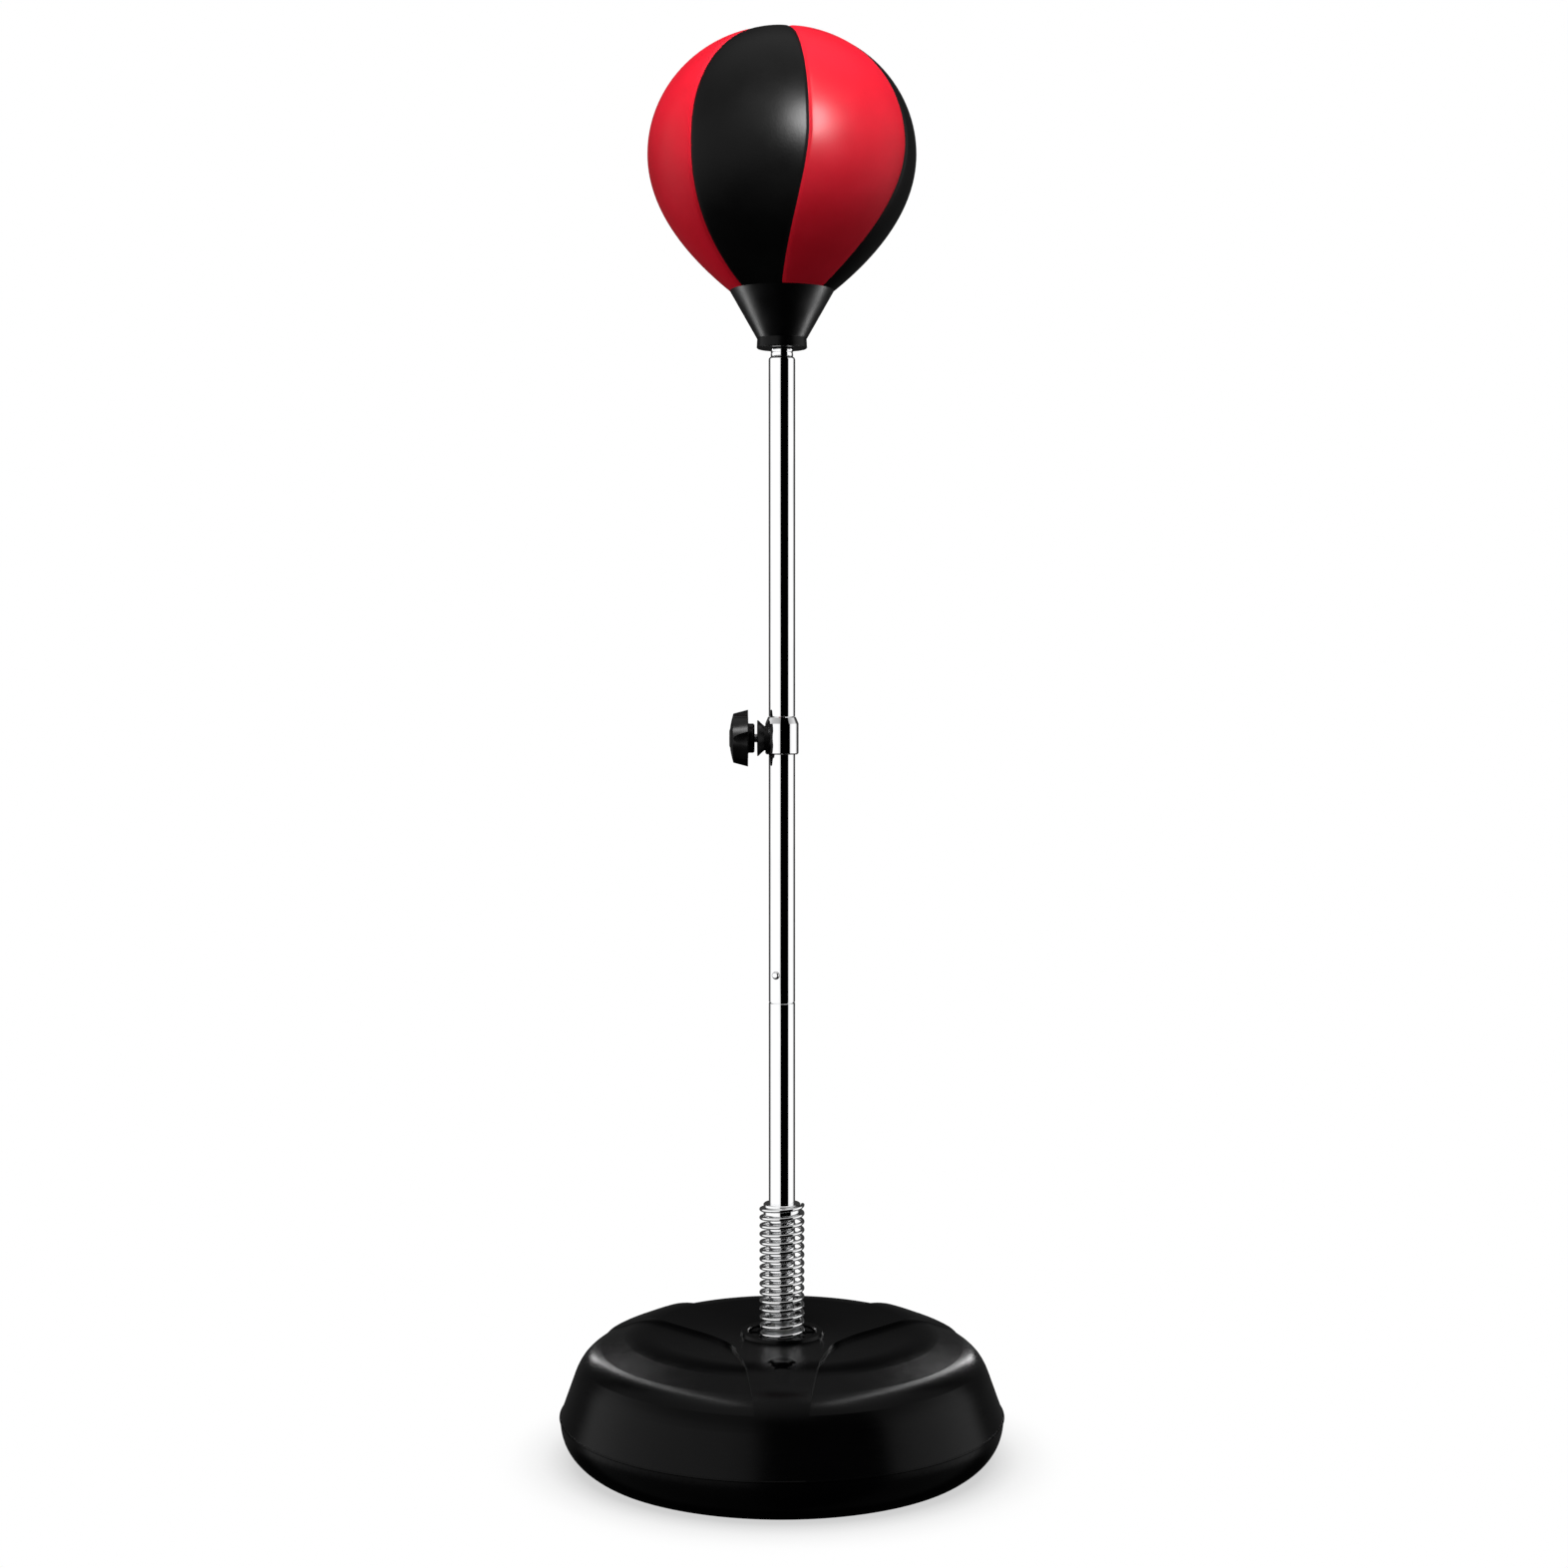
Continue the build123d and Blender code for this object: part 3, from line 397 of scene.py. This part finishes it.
def crown_panel(piece, start, sweep):
    """Sink a panel's two edges into the seams and swell its middle a little."""
    centre = Vector((0, 0, BALL_Z))
    for vertex in piece.data.vertices:
        radius = math.hypot(vertex.co.x, vertex.co.y)
        turn = (math.degrees(math.atan2(vertex.co.y, vertex.co.x)) - start) % 360
        turn = min(turn, sweep) if turn < 300 else 0.0
        edge = math.radians(min(turn, sweep - turn)) * radius
        fade = min(1.0, radius / CROWN_FADE_R)
        sink = VALLEY_DEPTH * fade * math.exp(-((edge / VALLEY_WIDTH) ** 2))
        swell = 0.0
        if 0 < turn < sweep:
            swell = CROWNING * fade * math.sin(math.pi * turn / sweep) ** CROWN_POWER
        out = (vertex.co - centre).normalized()
        vertex.co += out * (swell - sink)
        drop = max(0.0, BALL_Z - vertex.co.z)
        lean = math.radians(TWIST) * (drop / BALL_END_DROP) ** TWIST_POWER
        vertex.co.rotate(Matrix.Rotation(lean, 3, "Z"))


def ball_panel(name, number, finish):
    """One gore of the ball's skin, cut out of the whole turned skin between two seams."""
    start = SEAMS[number]
    sweep = (SEAMS[(number + 1) % len(SEAMS)] - start) % 360
    piece = turned(name, ball_outline(), SKIN_STEPS, close_end=True)
    edit(piece)
    for angle, side in ((start, 1), (start + sweep, -1)):
        across = math.radians(angle + 90)
        normal = (side * math.cos(across), side * math.sin(across), 0)
        bpy.ops.mesh.select_all(action="SELECT")
        bpy.ops.mesh.bisect(plane_co=(0, 0, BALL_Z), plane_no=normal, clear_inner=True)
    for inset in SEAM_CUTS:
        for angle in (start + inset, start + sweep - inset):
            across = math.radians(angle + 90)
            bpy.ops.mesh.select_all(action="SELECT")
            bpy.ops.mesh.bisect(
                plane_co=(0, 0, BALL_Z), plane_no=(math.cos(across), math.sin(across), 0)
            )
    leave()
    tidy_normals(piece)
    crown_panel(piece, start, sweep)
    applied(piece, "SOLIDIFY", thickness=SKIN_T, offset=-1, use_even_offset=True)
    tidy_normals(piece)
    smooth(piece, 50)
    dress(piece, finish)
    return piece


def ball():
    for number in range(len(SEAMS)):
        colour = "red" if number % 2 == 0 else "black"
        node = f"ball_panel_{colour}_{number // 2 + 1}"
        piece = ball_panel(f"sewn_{node}", number, f"{colour}_leather")
        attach(piece, "upper_mast")
        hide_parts(node)


# ------------------------------------------------------------------ spring
def spring():
    """The wire's section is swept up the coil by a screw, then its two cut ends are closed."""
    pitch = (SPRING_TOP - SPRING_Z - 2 * WIRE_R) / SPRING_TURNS
    deselect()
    bpy.ops.mesh.primitive_circle_add(
        vertices=WIRE_SIDES,
        radius=WIRE_R,
        location=(COIL_R, 0, SPRING_Z + WIRE_R),
        rotation=(math.radians(90), 0, 0),
    )
    piece = added("wound_spring")
    applied(
        piece,
        "SCREW",
        axis="Z",
        angle=math.radians(360),
        screw_offset=pitch,
        iterations=SPRING_TURNS,
        steps=SPRING_STEPS,
        render_steps=SPRING_STEPS,
        use_normal_calculate=True,
    )
    edit(piece)
    bpy.ops.mesh.select_all(action="SELECT")
    bpy.ops.mesh.remove_doubles(threshold=MERGE)
    bpy.ops.mesh.fill_holes(sides=0)
    leave()
    tidy_normals(piece)
    smooth(piece, 50)
    dress(piece, "chrome")
    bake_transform(piece)
    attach(piece, "spring_seat")
    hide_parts("coil_spring")


# ------------------------------------------------------------------ studio
CAMERA_PLACE = (0.002, -2.400, 0.750)
CAMERA_DOWN = 2.35            # degrees
LENS = 57.4                   # millimetres
SENSOR = 36
FLOOR_SIZE = 400
FLOOR_BACK = 150              # the floor reaches further behind than in front
PAINTED_SHADOW_REACH = 0.09          # how far from the base the painted contact shadow on the floor reaches
# grey of the painted contact shadow at its darkest
PAINTED_SHADOW_TONE = 0.62


def camera():
    data = bpy.data.cameras.new("camera")
    data.lens = LENS
    data.sensor_width = SENSOR
    holder = bpy.data.objects.new("camera", data)
    holder.location = CAMERA_PLACE
    holder.rotation_euler = (math.radians(90 - CAMERA_DOWN), 0, 0)
    bpy.context.scene.collection.objects.link(holder)
    bpy.context.scene.camera = holder


def floor():
    """A pale floor that stays out of reflections, with a soft contact shadow painted into its colour
    where the base stands on it.
    """
    deselect()
    bpy.ops.mesh.primitive_plane_add(size=FLOOR_SIZE, location=(0, FLOOR_BACK, 0))
    piece = added("floor")
    material = bpy.data.materials.new("floor_paint")
    material.use_nodes = True
    tree = material.node_tree
    tree.nodes.clear()
    # painted contact shadow: ambient occlusion near the base darkens the floor's glow
    painted_shadow_occlusion = tree.nodes.new("ShaderNodeAmbientOcclusion")
    painted_shadow_occlusion.samples = 16
    painted_shadow_occlusion.inputs["Distance"].default_value = PAINTED_SHADOW_REACH
    dark = (PAINTED_SHADOW_TONE,) * 3
    shade = two_tone(tree, painted_shadow_occlusion.outputs["AO"], dark, (1, 1, 1), 0.3, 0.9)
    glow = tree.nodes.new("ShaderNodeEmission")
    tree.links.new(shade, glow.inputs["Color"])
    out = tree.nodes.new("ShaderNodeOutputMaterial")
    tree.links.new(glow.outputs["Emission"], out.inputs["Surface"])
    piece.data.materials.append(material)
    piece.visible_glossy = False
    piece.visible_diffuse = False


def area_light(name, place, aim, along, length, width, power, receivers, round_shape=False):
    """A light card whose long side lies along a direction and that reaches only some pieces."""
    data = bpy.data.lights.new(name, "AREA")
    data.shape = "DISK" if round_shape else "RECTANGLE"
    data.size = length
    data.size_y = width
    data.energy = power
    holder = bpy.data.objects.new(name, data)
    back = (Vector(place) - Vector(aim)).normalized()
    side = Vector(along)
    side = (side - side.dot(back) * back).normalized()
    holder.location = place
    turn = Matrix((side, back.cross(side), back)).transposed()
    holder.rotation_euler = turn.to_euler()
    bpy.context.scene.collection.objects.link(holder)
    lit = bpy.data.collections.new("lit_by_" + name)
    for piece in receivers:
        lit.objects.link(piece)
    holder.light_linking.receiver_collection = lit
    holder.visible_camera = False
    return holder


def lights():
    """Each card reaches only the pieces whose highlights it draws."""
    panels = [piece for piece in bpy.data.objects if piece.name.startswith("sewn_")]
    base = [frame["nodes"][node] for node in ("base_shell", "fill_plug", "socket_ring")]
    cup = [frame["nodes"]["ball_cup"]]
    knob = [frame["nodes"][node] for node in ("knob_body", "knob_cap", "clamp_boss")]
    ball = (0, 0, BALL_Z)
    across = (1, 0, 0)
    # soft bright spot at the ball's front
    spot = area_light(
        "ball_spot", (0.70, -1.56, 1.81), ball, across, 0.85, 0.85, 150, panels, True
    )
    spot.visible_diffuse = False
    # a wide dim card in front gives the black panels their grey belt
    belt = area_light("ball_belt", (-0.2, -1.9, 2.45), ball, across, 3.2, 1.3, 8, panels)
    belt.visible_diffuse = False
    # shades the ball from bright at its top to deep below
    top = area_light("ball_top", (0.25, -1.5, 2.9), ball, across, 1.0, 1.0, 52, panels)
    top.visible_glossy = False
    # two long strips overhead draw the lines on the base's shoulders
    shoulders = (0, 0, 0.1)
    for hand, side, power in (("left", -1, 9), ("right", 1, 13)):
        place = (side * 0.86, 1.0, 1.5)
        along = (side * 0.46, 2.33, -2.0)
        area_light(f"base_strip_{hand}", place, shoulders, along, 3.3, 0.10, power, base)
    # two upright strips beside the cup
    for hand, side in (("left", -1), ("right", 1)):
        place = (side * 1.0, 0.34, 0.54)
        along = (side * -0.2, 0.1, 1)
        area_light(f"cup_strip_{hand}", place, (0, 0, RIM_Z), along, 0.9, 0.16, 9, cup)
    # one card draws the knob's edges
    area_light("knob_strip", (-0.75, -0.9, 1.5), (-0.04, 0, 0.7), across, 0.8, 0.3, 14, knob)


# brightness of the surroundings in reflections: by degrees round from the front, by height,
# and the extra light straight overhead
AROUND = (
    (-180, 0.04), (-126, 0.06), (-116, 0.8), (-100, 1.0), (-30, 1.0), (-14, 0.8), (-11, 0.0),
    (57, 0.0), (59, 0.75), (75, 1.0), (100, 1.0), (116, 0.8), (126, 0.06), (180, 0.04),
)
UPWARDS = ((-1, 0.03), (-0.45, 0.1), (-0.3, 1.0), (0.3, 1.0), (0.55, 0.5), (0.8, 0.3), (1, 0.22))
OVERHEAD = 0.6
OVERHEAD_FROM = 0.7
OVERHEAD_FULL = 0.95
SURROUND_STRENGTH = 1.15


def grey_ramp(tree, source, stops, lowest, span):
    """A grey that follows (place, brightness) stops; places run from lowest over span."""
    node = tree.nodes.new("ShaderNodeValToRGB")
    tree.links.new(source, node.inputs["Fac"])
    ramp = node.color_ramp
    for place, value in stops[1:-1]:
        stop = ramp.elements.new((place - lowest) / span)
        stop.color = (value, value, value, 1)
    ramp.elements[0].color = (stops[0][1],) * 3 + (1,)
    ramp.elements[-1].color = (stops[-1][1],) * 3 + (1,)
    return node.outputs["Color"]


def sum_node(tree, operation, first, second):
    node = tree.nodes.new("ShaderNodeMath")
    node.operation = operation
    tree.links.new(first, node.inputs[0])
    if isinstance(second, (int, float)):
        node.inputs[1].default_value = second
    else:
        tree.links.new(second, node.inputs[1])
    return node.outputs["Value"]


def world():
    """White seen directly. In reflections: dark in front, white sides, grey behind, dim above."""
    surround = bpy.data.worlds.new("studio")
    bpy.context.scene.world = surround
    surround.use_nodes = True
    tree = surround.node_tree
    tree.nodes.clear()
    coordinates = tree.nodes.new("ShaderNodeTexCoord")
    parts = tree.nodes.new("ShaderNodeSeparateXYZ")
    tree.links.new(coordinates.outputs["Generated"], parts.inputs["Vector"])
    forward = sum_node(tree, "MULTIPLY", parts.outputs["Y"], -1)
    turn = sum_node(tree, "ARCTAN2", parts.outputs["X"], forward)
    spread = spread_to(tree, turn, 0, 1, -math.pi, math.pi)
    around = grey_ramp(tree, spread, AROUND, -180, 360)
    upwards = grey_ramp(tree, spread_to(tree, parts.outputs["Z"], 0, 1, -1, 1), UPWARDS, -1, 2)
    level = sum_node(tree, "MULTIPLY", around, upwards)
    above = spread_to(tree, parts.outputs["Z"], 0, OVERHEAD, OVERHEAD_FROM, OVERHEAD_FULL)
    both = sum_node(tree, "ADD", level, above)
    sides = tree.nodes.new("ShaderNodeBackground")
    tree.links.new(both, sides.inputs["Color"])
    sides.inputs["Strength"].default_value = SURROUND_STRENGTH
    white = tree.nodes.new("ShaderNodeBackground")
    white.inputs["Color"].default_value = (1, 1, 1, 1)
    rays = tree.nodes.new("ShaderNodeLightPath")
    mix = tree.nodes.new("ShaderNodeMixShader")
    tree.links.new(rays.outputs["Is Camera Ray"], mix.inputs["Fac"])
    tree.links.new(sides.outputs["Background"], mix.inputs[1])
    tree.links.new(white.outputs["Background"], mix.inputs[2])
    out = tree.nodes.new("ShaderNodeOutputWorld")
    tree.links.new(mix.outputs["Shader"], out.inputs["Surface"])


def studio():
    camera()
    world()
    floor()
    scene = bpy.context.scene
    scene.view_settings.view_transform = "Standard"
    scene.view_settings.look = "None"


studio()
dress_frame()
ball()
spring()
lights()
